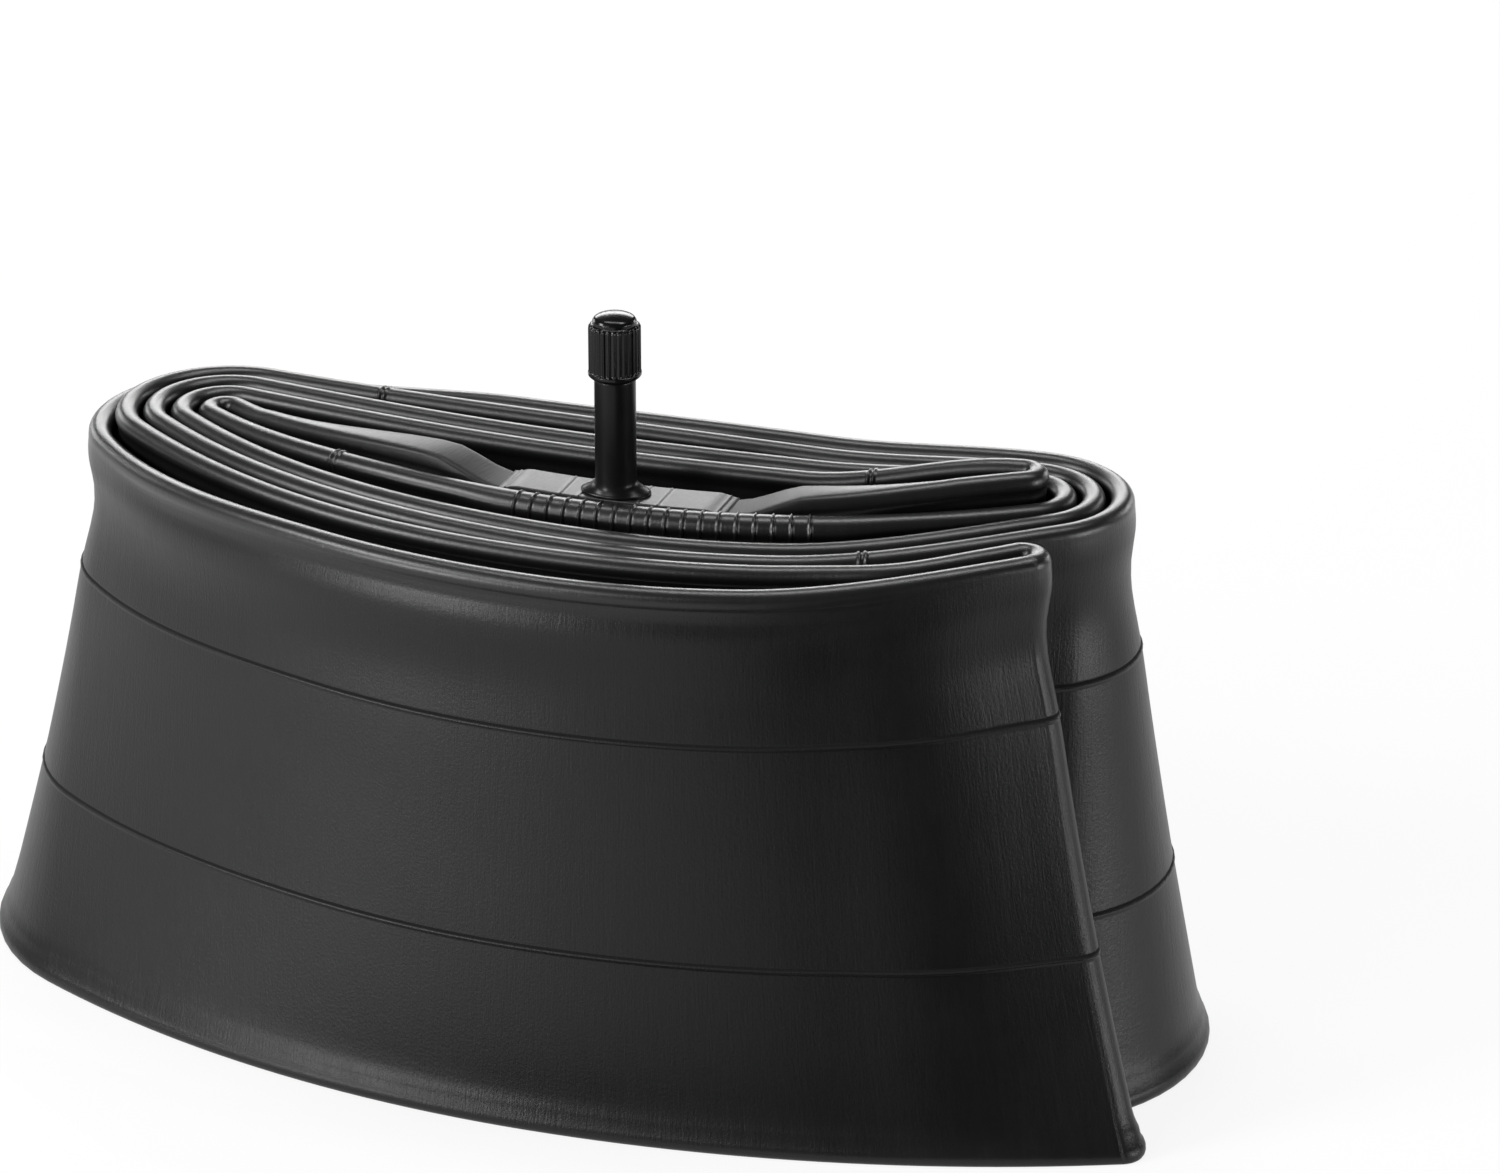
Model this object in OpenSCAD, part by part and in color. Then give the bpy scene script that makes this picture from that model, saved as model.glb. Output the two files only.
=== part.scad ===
// A bicycle inner tube, deflated and pressed flat, folded into a standing almond-shaped pack, with a
// rubber-covered Schrader valve on its innermost lay and a fluted dust cap screwed onto the valve.

/* [Tube] */
// Height of the pack where the lays stand level
pack_h = 110; // [95:1:125]
// Wall of the rubber tube
wall_t = 0.9; // [0.8:0.05:1.2]
// Air left between the walls where the tube is pressed flat
air_gap = 0.6; // [0.4:0.1:1]
// Width of the rounded bead along the top and bottom edges of a lay
bead_w = 4.6; // [4.2:0.1:5.4]
// Width of the flat where the pack stands on its bottom beads
foot_w = 2.8; // [2:0.1:3.6]

/* [Folds] */
// Distance from the valve to the centre of the left folds
left_reach = 92; // [85:1:105]
// Distance from the valve to the centre of the right folds
right_reach = 74; // [68:1:85]
// Distance from the folds' centre line forward to the outermost front lay
front_bulge = 65; // [62:1:74]
// Distance from the folds' centre line back to the outermost back lay
back_bulge = 20; // [18:1:26]
// Gap between lays that lie against each other
lay_gap = 0.9; // [0.6:0.1:1.4]
// Gap between the beads of neighbouring lays where they fold
end_gap = 0.9; // [0.8:0.1:1.2]
// Gap inside the tightest folds
fold_gap = 1.8; // [1.2:0.1:2.4]
// Gap between the front flap and the lay behind it
flap_gap = 8.8; // [6:0.2:11]
// Gap between the ribbed lay and the lay in front of it
rib_gap = 4; // [2:0.2:6]
// Gap between the second and third back lays
back_gap = 2.8; // [1.6:0.1:4]
// Gap between the third and fourth back lays
inner_gap = 2; // [1.4:0.2:6]
// Gap between the valve pad and the ribbed lay in front of it
pad_gap = 1.2; // [0.8:0.1:2]
// How far the tip of the front flap reaches past the centre of the right folds
flap_reach = 9; // [4:1:12]
// Gap between the tip of the flap and the lay behind it
tip_gap = 4.2; // [3.6:0.2:8]

/* [Flare] */
// How far the end folds stand out at the floor
end_flare = 20; // [10:1:22]
// How far the end folds lean to the front at the floor
end_lean = 8; // [0:1:9]
// How far the front lays stand out at the floor
front_flare = 11; // [8:1:20]
// How far the back lays stand out at the floor
back_flare = 20; // [10:1:26]
// How far the tip of the flap stands out to the right at the floor
flap_flare_x = 27; // [20:1:34]
// How far the tip of the flap stands out to the front at the floor
flap_flare_y = 20; // [18:1:28]
// Bend of the flare: 1 is straight, more is bell-shaped
flare_bend = 1.3; // [1:0.05:1.6]
// How far the outermost left fold dips under the level lays
left_dip = 3; // [0:0.5:6]
// How far the right folds and the flap stand over the level lays
right_rise = 2.5; // [0:0.5:5]
// How far the ribbed lay in front of the valve stands over the level lays
rib_rise = 2; // [0:0.5:4]
// How far the pad under the valve stands over the level lays
valve_rise = 0.5; // [0:0.5:5]
// How far the edge of the valve's lay rises on both sides of the pad
edge_rise = 4; // [0:0.5:6]
// How far the tip of the inner tongue stands over the level lays
tongue_rise = 7; // [0:0.5:8]

/* [Valve] */
// Length of the flat pad under the valve
pad_l = 46; // [36:1:56]
// Rim of the pad on each side of the stem
pad_rim = 0.7; // [0.4:0.1:1.2]
// Thickness of the patch on the pad
patch_t = 1; // [0.6:0.1:1.6]
// Diameter of the rubber-covered stem
stem_d = 8; // [7.6:0.1:8.4]
// Length of the rubber-covered stem
stem_l = 23.5; // [20:0.5:30]
// Length, along the pad, of the foot that the stem widens into
foot_l = 11.6; // [10.6:0.2:13]
// Height of the stem's foot
foot_h = 1.8; // [1.2:0.1:2.4]
// Wall of the brass insert inside the rubber
insert_wall = 0.75; // [0.6:0.05:0.9]
// Outer diameter of the thread on the valve tip
tip_d = 7.7; // [7.6:0.05:7.8]
// Length of the threaded valve tip
tip_l = 9.5; // [9:0.25:11]
// Diameter of the air passage at the bottom of the insert
air_d = 2.6; // [2:0.1:3]
// Running clearance, on the radius, of threads and sliding pieces
run_gap = 0.05; // [0.03:0.01:0.08]
// Clearance of pieces that pass each other without a fit
pass_gap = 0.15; // [0.1:0.05:0.2]

/* [Valve core] */
// Outer diameter of the core plug's thread
plug_d = 5.2; // [5.1:0.05:5.25]
// Length of the core plug's thread
plug_l = 3; // [2.5:0.25:3.5]
// Width of the plug's head across its flats
head_w = 2.4; // [2:0.1:2.8]
// Length of the plug's head
head_l = 2; // [1.5:0.25:2.5]
// Diameter of the core barrel
barrel_d = 3.7; // [3.6:0.05:3.8]
// Length of the core barrel
barrel_l = 8; // [7.5:0.25:9]
// Wall of the core barrel
barrel_wall = 0.4; // [0.3:0.05:0.45]
// Length of the tapered sealing ring on the barrel
gasket_l = 2; // [1.5:0.25:2.5]
// Diameter of the pin
pin_d = 0.9; // [0.8:0.05:1]
// Travel of the pin when it is pressed
pin_travel = 1.2; // [0.8:0.1:1.5]
// Length of the cup on the pin's lower end
cup_l = 1.3; // [1:0.1:1.6]
// Thickness of the seal ring on the cup
seal_t = 0.8; // [0.6:0.1:1]
// Diameter of the spring's wire
wire_d = 0.3; // [0.25:0.05:0.35]
// Turns of the spring
spring_turns = 6; // [4:1:8]

/* [Dust cap] */
// Wall of the cap behind its flutes
cap_wall = 0.9; // [0.7:0.1:1.3]
// Height of the plain skirt
skirt_h = 1; // [0.6:0.1:1.6]
// How far the skirt stands out from the flutes
skirt_lip = 0.1; // [0:0.05:0.3]
// Chamfer under the skirt
skirt_chamfer = 0.4; // [0.2:0.05:0.5]
// Height of the sloping shoulder over the flutes
shoulder_h = 0.6; // [0.4:0.1:0.8]
// How far the shoulder slopes in to the ring under the dome
ring_step = 0.55; // [0.3:0.05:0.75]
// Height of the dome
dome_h = 1.3; // [0.8:0.1:1.6]
// Number of flutes round the cap
flutes = 30; // [24:1:36]
// Depth of the flutes
flute_depth = 0.25; // [0.15:0.05:0.35]
// Thickness of the sealing ring inside the cap
liner_t = 0.8; // [0.6:0.1:1]
// Room over the valve tip for the core to be unscrewed
cap_room = 2.4; // [2.3:0.1:2.8]
// Roof of the cap over that room
roof_t = 1.1; // [0.9:0.1:1.4]
// Gap between the cap's skirt and the stem's rubber
skirt_gap = 0.3; // [0.2:0.05:0.5]

/* [Hidden] */
$fn = 64;

// Cutting solids run past the faces that they open
past = 1;

// Lays crossing the plane of the valve: five in front, outermost first, then five behind, outermost first
bead_r = bead_w / 2;
lay_step = bead_w + lay_gap;
behind_flap = -front_bulge + bead_w + flap_gap;
fourth_front = behind_flap + 2 * lay_step;
inner_front = fourth_front + bead_w + rib_gap;
pad_w = stem_d + 2 * pad_rim;
valve_y = inner_front + bead_r + pad_gap + pad_w / 2;
third_back = back_bulge - lay_step - bead_w - back_gap;
lay_y = [-front_bulge, behind_flap, behind_flap + lay_step, fourth_front, inner_front,
    back_bulge, back_bulge - lay_step, third_back, third_back - bead_w - inner_gap, valve_y];

// A fold is [centre, radius, rise of its top, drift of its centre at the floor, growth of its radius at the
// floor]
fold_r = (bead_w + fold_gap) / 2;
end_pitch = bead_w + end_gap;
function left_fold(layer) =
    [[-left_reach, 0], fold_r + layer * end_pitch, layer == 4 ? -left_dip : 0, [0, -end_lean], end_flare];
function right_fold(layer) =
    [[right_reach, 0], fold_r + layer * end_pitch, right_rise, [0, -end_lean], end_flare];
// The tip of the flap stands in front of the third lay, which runs out to the outermost right fold
flap_x = right_reach + flap_reach;
third_bow = bow(lay_y[2], right_fold(3)[0], right_fold(3)[1], -1);
third_y = bow_point(lay_y[2], third_bow, asin(flap_x / abs(third_bow))).y;
flap_y = fold_r + tip_gap + bead_w - third_y;
flap_fold = [[flap_x, -flap_y], fold_r, right_rise, [flap_flare_x, -flap_flare_y], 0];
tongue_fold = [[right_reach, 0], fold_r, tongue_rise, [end_flare, -end_lean], 0];

// The tube's way round the pack: each leg is a lay and the fold at its end, and the last leg meets the first
legs = [[0, left_fold(4)], [5, right_fold(3)], [2, left_fold(2)], [7, right_fold(1)], [4, left_fold(0)],
    [9, tongue_fold], [8, left_fold(1)], [3, right_fold(2)], [6, left_fold(3)], [1, flap_fold]];
leg_count = len(legs);
ribbed_lay = 4;
valve_lay = 9;
valve_leg = search(valve_lay, legs)[0];
half_steps = 4;
fold_steps = 10;
level_share = 0.4;

function lay_of(leg) = legs[(leg + leg_count) % leg_count][0];
function fold_of(leg) = legs[(leg + leg_count) % leg_count][1];
function side(lay, other) = lay_y[lay] < lay_y[other] ? -1 : 1;
function nonzero(x) = abs(x) < 0.001 ? 0.001 : x;

// A lay is two arcs that meet in the plane of the valve and run out to touch the folds at its ends.
// spread is 0 at the top of the pack and 1 at the floor
function middle(lay, spread) = lay_y[lay] + spread * (lay < 5 ? -front_flare : back_flare);
function fold_centre(fold, spread) = fold[0] + spread * fold[3];
function fold_radius(fold, spread) = fold[1] + spread * fold[4];
function bow(y, centre, r, side) =
    (centre.x * centre.x + (y - centre.y) * (y - centre.y) - r * r) / (2 * nonzero(y - centre.y - side * r));
function bow_end(y, centre, rho) = atan2(centre.x, sign(rho) * (centre.y - y + rho));
function bow_point(y, rho, angle) = [abs(rho) * sin(angle), y - rho * (1 - cos(angle))];

// A point on a leg: along runs from -1 at the fold before it to 1 at the fold after it
function leg_point(leg, along, spread) =
    let (
        lay = lay_of(leg),
        fold = fold_of(along < 0 ? leg - 1 : leg),
        other = lay_of(along < 0 ? leg - 1 : leg + 1),
        y = middle(lay, spread),
        centre = fold_centre(fold, spread),
        rho = bow(y, centre, fold_radius(fold, spread), side(lay, other))
    )
    bow_point(y, rho, abs(along) * bow_end(y, centre, rho));

// A point on the fold after a leg: along runs from 0 to 1
function turn(angle) = (angle + 900) % 360 - 180;
function heading(v) = atan2(v.y, v.x);
function fold_point(leg, along, spread) =
    let (
        fold = fold_of(leg),
        centre = fold_centre(fold, spread),
        out = centre.x < 0 ? 180 : 0,
        from = turn(heading(leg_point(leg, 1, spread) - centre) - out),
        to = turn(heading(leg_point(leg + 1, -1, spread) - centre) - out),
        angle = out + from + along * (to - from)
    )
    centre + fold_radius(fold, spread) * [cos(angle), sin(angle)];

// Stops along a lay: evenly spaced or, on the valve's lay, at the ends of the pad and of the ramps beside it
pad_ramp = 15;
function stop(leg, hand, x) =
    let (
        lay = lay_of(leg),
        fold = fold_of(hand < 0 ? leg - 1 : leg),
        rho = bow(lay_y[lay], fold[0], fold[1], side(lay, lay_of(leg + hand)))
    )
    hand * asin(x / abs(rho)) / abs(bow_end(lay_y[lay], fold[0], rho));
function even_stops() = [for (i = [-half_steps : half_steps - 1]) i / half_steps];
function pad_stops(leg) =
    let (
        pad = [for (hand = [-1, 1]) stop(leg, hand, pad_l / 2)],
        ramp = [for (hand = [-1, 1]) stop(leg, hand, pad_l / 2 + pad_ramp)]
    )
    [-1, (ramp[0] - 1) / 2, ramp[0], pad[0], 0, pad[1], ramp[1], (ramp[1] + 1) / 2];

// Stations along the whole tube as [leg, along, whether it is on the fold]
stations = [for (leg = [0 : leg_count - 1]) each concat(
    [for (along = lay_of(leg) == valve_lay ? pad_stops(leg) : even_stops()) [leg, along, false]],
    [for (i = [0 : fold_steps - 1]) [leg, i / fold_steps, true]])];
count = len(stations);
function route(spread) = [for (s = stations)
    s[2] ? fold_point(s[0], s[1], spread) : leg_point(s[0], s[1], spread)];

// Widening of the bead into the pad under the valve
function pad_share(s, p) =
    s[2] || lay_of(s[0]) != valve_lay ? 0 : max(0, min(1, (pad_l / 2 + pad_ramp - abs(p.x)) / pad_ramp));

// Rise of the tube's top edge at a station: level by the valve, then easing to the fold at each end
function ease(x) = let (t = max(0, min(1, x))) t * t * (3 - 2 * t);
function lay_rise(s) =
    lay_of(s[0]) == valve_lay ? valve_rise + edge_rise * (1 - pad_share(s, leg_point(s[0], s[1], 0)))
    : lay_of(s[0]) == ribbed_lay ? rib_rise
    : 0;
function rise(s) =
    let (
        fold = fold_of(s[1] < 0 ? s[0] - 1 : s[0])[2],
        level = lay_rise(s)
    )
    s[2] ? fold : level + (fold - level) * ease((abs(s[1]) - level_share) / (1 - level_share));

// Half the tube's flat cross-section, top to bottom, as [share of the top's height, height over that,
// half the width, whether the pad widens it]
sheet_half = wall_t + air_gap / 2;
neck_h = 8;
crown_half = foot_w / 2;
crown_wall = 1.2 * wall_t;
skin = [[1, 0, crown_half, 1], [1, -bead_r, bead_r, 1], [1, -neck_h, sheet_half, 0], [0.5, 0, sheet_half, 0],
    [0, neck_h, sheet_half, 0], [0, bead_r, bead_r, 0], [0, 0, foot_w / 2, 0]];
bore_half = crown_half - wall_t / 2;
bore = [[1, -crown_wall, bore_half, 1], [1, -neck_h, air_gap / 2, 0], [0.5, 0, air_gap / 2, 0],
    [0, neck_h, air_gap / 2, 0], [0, crown_wall, bore_half, 0]];

function level_z(level, top) = level[0] * top + level[1];
function level_spread(level) = pow(1 - level_z(level, pack_h) / pack_h, flare_bend);
function across(line, i) =
    let (d = line[(i + 1) % count] - line[(i + count - 1) % count]) [-d.y, d.x] / norm(d);
function edge(level, hand) =
    let (line = route(level_spread(level)))
    [for (i = [0 : count - 1])
        let (
            s = stations[i],
            half = level[2] + level[3] * pad_share(s, line[i]) * (pad_w / 2 - bead_r),
            p = line[i] + hand * half * across(line, i)
        )
        [p.x, p.y, level_z(level, pack_h + rise(s))]];

// Lines of points along the tube: down one side of the section and up the other. The squares between them
// are split the same way on both sides, so that the walls stay parallel where a lay twists
function lines(section) = concat(
    [for (level = section) edge(level, 1)],
    [for (i = [len(section) - 1 : -1 : 0]) edge(section[i], -1)]);
module folded(section) {
    rows = lines(section);
    n = len(rows);
    points = [for (row = rows) each row];
    faces = [for (r = [0 : n - 1]) for (i = [0 : count - 1])
        let (
            a = r * count + i,
            b = r * count + (i + 1) % count,
            c = (r + 1) % n * count + (i + 1) % count,
            d = (r + 1) % n * count + i
        )
        each r < n / 2 ? [[a, c, b], [a, d, c]] : [[a, d, b], [b, d, c]]];
    polyhedron(points, faces);
}

// The part's origin is under the middle of the pack, on the floor
outline = [for (row = lines(skin)) each row];
reach_x = [for (p = outline) p.x];
reach_y = [for (p = outline) p.y];
origin = [(min(reach_x) + max(reach_x)) / 2, (min(reach_y) + max(reach_y)) / 2];

// Least gap of the tube to itself, over all levels, from each station to the runs of the other lays
function to_run(p, a, b) =
    let (
        d = b - a,
        t = max(0, min(1, (p - a) * d / (d * d)))
    )
    norm(p - a - t * d);
function apart(i, j) = min(abs(i - j), count - abs(i - j)) > fold_steps + 1;
function self_gap(level) =
    let (line = route(level_spread(level)))
    min([for (i = [0 : count - 1]) for (j = [0 : count - 1]) if (apart(i, j) && apart(i, j + 1))
        to_run(line[i], line[j], line[(j + 1) % count])]) - 2 * level[2];
echo(least_gap = min([for (level = skin) self_gap(level)]));

// Heights up the valve
pad_z = pack_h + valve_rise;
stem_z = pad_z + patch_t;
rim_z = stem_z + stem_l;
tip_z = rim_z + tip_l;
cap_z = rim_z + skirt_gap;
cap_top = tip_z + cap_room + roof_t;

// Radii out from the pin to the cap
pin_room = 0.25;
neck_step = 0.35;
air_room = 0.2;
pin_r = pin_d / 2;
pin_hole_r = pin_r + pin_room;
barrel_r = barrel_d / 2;
neck_r = barrel_r - neck_step;
spring_room_r = barrel_r - barrel_wall;
collar_r = spring_room_r - pass_gap;
spring_r = collar_r - wire_d / 2;
cup_r = barrel_r - pass_gap;
core_bore_r = barrel_r + air_room;
insert_r = core_bore_r + insert_wall;
chamber_r = plug_d / 2 + run_gap;
tip_r = tip_d / 2;
cap_bore_r = tip_r + run_gap;
flute_r = cap_bore_r + cap_wall;
ring_r = flute_r - ring_step;
liner_hole_r = chamber_r + pass_gap;

// Heights down the core, from the valve's tip
head_drop = 0.4;
pin_drop = 0.2;
plug_z = tip_z - head_drop - head_l - plug_l;
barrel_top = plug_z - run_gap;
barrel_z = barrel_top - barrel_l;
neck_l = 1.2;
seat_gap = 1;
seat_top = plug_z - seat_gap;
gasket_z = seat_top - seat_gap - gasket_l;
seat_z = gasket_z - seat_gap;
barrel_floor = 0.8;
barrel_roof = 1.3;
collar_l = 0.6;
collar_room = 0.3;
cup_z = barrel_z - run_gap - seal_t - cup_l;
cup_room = 1;
core_end = cup_z - pin_travel - cup_room;
spring_bottom = barrel_z + barrel_floor;
spring_top = barrel_top - barrel_roof - collar_room - collar_l;
liner_gap = 0.1;
liner_z = tip_z + liner_gap;
cap_bore_top = liner_z + liner_t;

module at_valve(z) {
    translate([-origin.x, valve_y - origin.y, z]) children();
}

module ring(outer_r, inner_r, height) {
    difference() {
        cylinder(r = outer_r, h = height);
        translate([0, 0, -past]) cylinder(r = inner_r, h = height + 2 * past);
    }
}

module tube() {
    color("#232326") difference() {
        translate([-origin.x, -origin.y, 0]) folded(skin);
        translate([-origin.x, -origin.y, 0]) folded(bore);
        at_valve(pad_z - crown_wall - air_gap) cylinder(r = insert_r, h = crown_wall + air_gap + past);
    }
}

// Strip of rubber bonded to the pad, bent along its lay, that the stem stands on
module valve_patch() {
    steps = 10;
    spine = [for (i = [-steps : steps])
        let (
            x = pad_l / 2 * i / steps,
            fold = fold_of(valve_leg + (i < 0 ? -1 : 0)),
            rho = bow(valve_y, fold[0], fold[1], -1)
        )
        bow_point(valve_y, rho, asin(x / abs(rho))) - [0, valve_y]];
    strip = concat(
        [for (p = spine) p + [0, pad_w / 2]],
        [for (i = [2 * steps : -1 : 0]) spine[i] - [0, pad_w / 2]]);
    color("#3a3a3d") at_valve(pad_z) difference() {
        linear_extrude(patch_t) polygon(strip);
        translate([0, 0, -past]) cylinder(r = insert_r, h = patch_t + 2 * past);
    }
}

// Moulded rubber sleeve over the brass insert, which widens along the pad into an oval foot
module stem_cover() {
    r = stem_d / 2;
    color("#1c1c1e") at_valve(stem_z) difference() {
        union() {
            cylinder(r = r, h = stem_l);
            intersection() {
                cylinder(r1 = foot_l / 2, r2 = r, h = foot_h);
                translate([-foot_l, -pad_w / 2, 0]) cube([2 * foot_l, pad_w, foot_h]);
            }
        }
        translate([0, 0, -past]) cylinder(r = insert_r, h = stem_l + 2 * past);
    }
}

// Brass insert: a plain shank in the rubber and a threaded tip over it, with the core's chamber inside
module stem_insert() {
    color("#b08d48") difference() {
        union() {
            at_valve(pad_z) cylinder(r = insert_r, h = rim_z - pad_z + past);
            at_valve(rim_z) cylinder(r = tip_r, h = tip_l);
        }
        at_valve(seat_top) cylinder(r = chamber_r, h = tip_z - seat_top + past);
        at_valve(seat_z) cylinder(r1 = core_bore_r, r2 = chamber_r, h = seat_top - seat_z);
        at_valve(core_end) cylinder(r = core_bore_r, h = seat_z - core_end);
        at_valve(pad_z - past) cylinder(r = air_d / 2, h = core_end - pad_z + past);
    }
}

// Threaded plug with a flat-sided head, which turns on the barrel's neck
module core_plug() {
    color("#c9a85c") at_valve(plug_z) difference() {
        union() {
            cylinder(r = plug_d / 2, h = plug_l);
            intersection() {
                cylinder(r = plug_d / 2, h = plug_l + head_l);
                translate([-head_w / 2, -plug_d, plug_l]) cube([head_w, 2 * plug_d, head_l]);
            }
        }
        translate([0, 0, -past]) cylinder(r = neck_r + run_gap, h = neck_l + run_gap + past);
        cylinder(r = pin_hole_r, h = plug_l + head_l + past);
    }
}

// Barrel that holds the spring, with a neck that the plug swivels on
module core_barrel() {
    room_l = barrel_l - barrel_floor - barrel_roof;
    color("#bfa05a") at_valve(barrel_z) difference() {
        union() {
            cylinder(r = barrel_r, h = barrel_l);
            cylinder(r = neck_r, h = barrel_l + neck_l);
        }
        translate([0, 0, barrel_floor]) cylinder(r = spring_room_r, h = room_l);
        translate([0, 0, -past]) cylinder(r = pin_hole_r, h = barrel_l + neck_l + 2 * past);
    }
}

// Tapered sealing ring round the barrel, on the seat in the chamber
module core_gasket() {
    slope = (chamber_r - core_bore_r) / (seat_top - seat_z);
    low_r = core_bore_r + slope * (gasket_z - seat_z) - 2 * run_gap;
    color("#e6e2d8") at_valve(gasket_z) difference() {
        cylinder(r1 = low_r, r2 = low_r + slope * gasket_l, h = gasket_l);
        translate([0, 0, -past]) cylinder(r = barrel_r, h = gasket_l + 2 * past);
    }
}

// Pin that opens the valve, with the collar that the spring pushes up
module core_pin() {
    color("#d8d2c2") {
        at_valve(cup_z + cup_l / 2) cylinder(r = pin_r, h = tip_z - pin_drop - cup_z - cup_l / 2);
        at_valve(spring_top) cylinder(r = collar_r, h = collar_l);
    }
}

// Cup crimped on the pin's lower end
module core_cup() {
    color("#bfa05a") at_valve(cup_z) difference() {
        cylinder(r = cup_r, h = cup_l);
        translate([0, 0, cup_l / 2]) cylinder(r = pin_r, h = cup_l);
    }
}

// Rubber ring in the cup that closes the barrel's lower end
module cup_seal() {
    color("#8c3b2e") at_valve(cup_z + cup_l) ring(cup_r, pin_r, seal_t);
}

// Compression spring between the barrel's floor and the pin's collar
module core_spring() {
    sides = 6;
    turn_steps = 8;
    steps = spring_turns * turn_steps;
    end_gap_z = 0.02;
    low = spring_bottom + wire_d / 2 + end_gap_z;
    climb = spring_top - spring_bottom - wire_d - 2 * end_gap_z;
    points = [for (i = [0 : steps]) for (k = [0 : sides - 1])
        let (
            angle = 360 * i / turn_steps,
            r = spring_r + wire_d / 2 * cos(360 * k / sides)
        )
        [r * cos(angle), r * sin(angle), low + climb * i / steps + wire_d / 2 * sin(360 * k / sides)]];
    skin_faces = [for (i = [0 : steps - 1]) for (k = [0 : sides - 1])
        let (
            a = i * sides + k,
            b = i * sides + (k + 1) % sides
        )
        each [[a, a + sides, b + sides], [a, b + sides, b]]];
    end_faces = [for (k = [1 : sides - 2])
        each [[0, k, k + 1], [steps * sides, steps * sides + k + 1, steps * sides + k]]];
    color("#c4c6c8") at_valve(0) polyhedron(points, concat(skin_faces, end_faces));
}

// Fluted plastic cap, screwed over the valve's tip
module dust_cap() {
    body_r = flute_r + flute_depth;
    skirt_r = body_r + skirt_lip;
    skirt_z = cap_z + skirt_h;
    ring_z = cap_bore_top + shoulder_h;
    dome_z = cap_top - dome_h;
    dome_r = (ring_r * ring_r + dome_h * dome_h) / (2 * dome_h);
    flute_sides = 6;
    shoulder_inset = 0.05;
    color("#141416") difference() {
        union() {
            at_valve(cap_z) cylinder(r1 = skirt_r - skirt_chamfer, r2 = skirt_r, h = skirt_chamfer);
            at_valve(cap_z + skirt_chamfer) cylinder(r = skirt_r, h = skirt_h - skirt_chamfer);
            at_valve(skirt_z) difference() {
                cylinder(r = body_r, h = cap_bore_top - skirt_z);
                for (i = [0 : flutes - 1]) rotate(360 * i / flutes)
                    translate([body_r + flute_depth, 0, -past])
                        cylinder(r = 2 * flute_depth, h = cap_top, $fn = flute_sides);
            }
            at_valve(cap_bore_top) cylinder(r1 = flute_r - shoulder_inset, r2 = ring_r, h = shoulder_h);
            at_valve(ring_z) cylinder(r = ring_r, h = dome_z - ring_z);
            at_valve(dome_z) intersection() {
                translate([0, 0, dome_h - dome_r]) sphere(r = dome_r);
                cylinder(r = ring_r, h = dome_h);
            }
        }
        at_valve(cap_z - past) cylinder(r = cap_bore_r, h = cap_bore_top - cap_z + past);
        at_valve(tip_z) cylinder(r = liner_hole_r, h = cap_room);
    }
}

// Soft ring in the cap that closes on the rim of the valve's tip
module cap_liner() {
    color("#4a4a4a") at_valve(liner_z) ring(tip_r, liner_hole_r, liner_t - run_gap);
}

tube();
valve_patch();
stem_cover();
stem_insert();
core_plug();
core_barrel();
core_gasket();
core_pin();
core_cup();
cup_seal();
core_spring();
dust_cap();
cap_liner();
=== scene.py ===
import math

import bmesh
import bpy
import numpy as np
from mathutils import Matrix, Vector


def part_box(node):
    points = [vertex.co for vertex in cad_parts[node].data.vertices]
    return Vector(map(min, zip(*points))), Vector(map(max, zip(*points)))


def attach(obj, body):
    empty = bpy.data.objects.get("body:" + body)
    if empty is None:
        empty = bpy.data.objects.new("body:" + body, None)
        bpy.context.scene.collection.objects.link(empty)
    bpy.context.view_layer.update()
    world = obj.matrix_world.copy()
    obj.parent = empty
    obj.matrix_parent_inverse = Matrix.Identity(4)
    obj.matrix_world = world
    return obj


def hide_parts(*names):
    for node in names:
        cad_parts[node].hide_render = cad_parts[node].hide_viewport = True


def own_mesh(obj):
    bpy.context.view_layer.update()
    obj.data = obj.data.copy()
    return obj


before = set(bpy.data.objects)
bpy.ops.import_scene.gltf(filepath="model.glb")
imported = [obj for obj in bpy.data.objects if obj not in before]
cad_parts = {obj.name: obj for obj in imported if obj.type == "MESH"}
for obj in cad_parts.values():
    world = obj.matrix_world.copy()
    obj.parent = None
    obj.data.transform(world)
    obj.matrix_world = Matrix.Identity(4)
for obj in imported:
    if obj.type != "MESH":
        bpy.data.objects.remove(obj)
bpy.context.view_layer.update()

# Tube: one endless tube of black butyl rubber, extruded, spliced and cured in a mould whose parting lines it
# keeps. It is pressed flat and folded into ten standing lays, each a double wall with a round bead along its
# top and bottom edges. Lengths are in millimetres until a mesh is made.
pack_height = 110
bead_radius = 2.3
wall_half = 1.2
foot_centre = 1.8
neck_depth = 8
lay_middle = [-65, -51.6, -46.1, -40.6, -32, 20, 14.5, 7.1, 0.5, -23.8]
front_lays = 5
flap_back, ribbed_lay, valve_lay = 1, 4, 9
valve_rise, edge_rise, rib_rise = 0.5, 4, 2
front_flare, back_flare, end_flare, end_lean = 11, 20, 20, 8
fold_radius, fold_pitch = 3.2, 5.5
left_end, right_end, outer_layer = -92, 74, 4
left_dip, right_rise, tongue_rise = -3, 2.5, 7
flap_end, flap_drift = (83, -29.995), (27, -20)
low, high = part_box("stem_insert")
valve = np.array([low.x + high.x, low.y + high.y]) * 500
fold_origin = valve - [0, lay_middle[valve_lay]]


def left_fold(layer):
    return {"at": (left_end, 0), "radius": fold_radius + fold_pitch * layer,
            "rise": left_dip if layer == outer_layer else 0, "drift": (0, -end_lean), "growth": end_flare}


def right_fold(layer):
    return {"at": (right_end, 0), "radius": fold_radius + fold_pitch * layer, "rise": right_rise,
            "drift": (0, -end_lean), "growth": end_flare}


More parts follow.
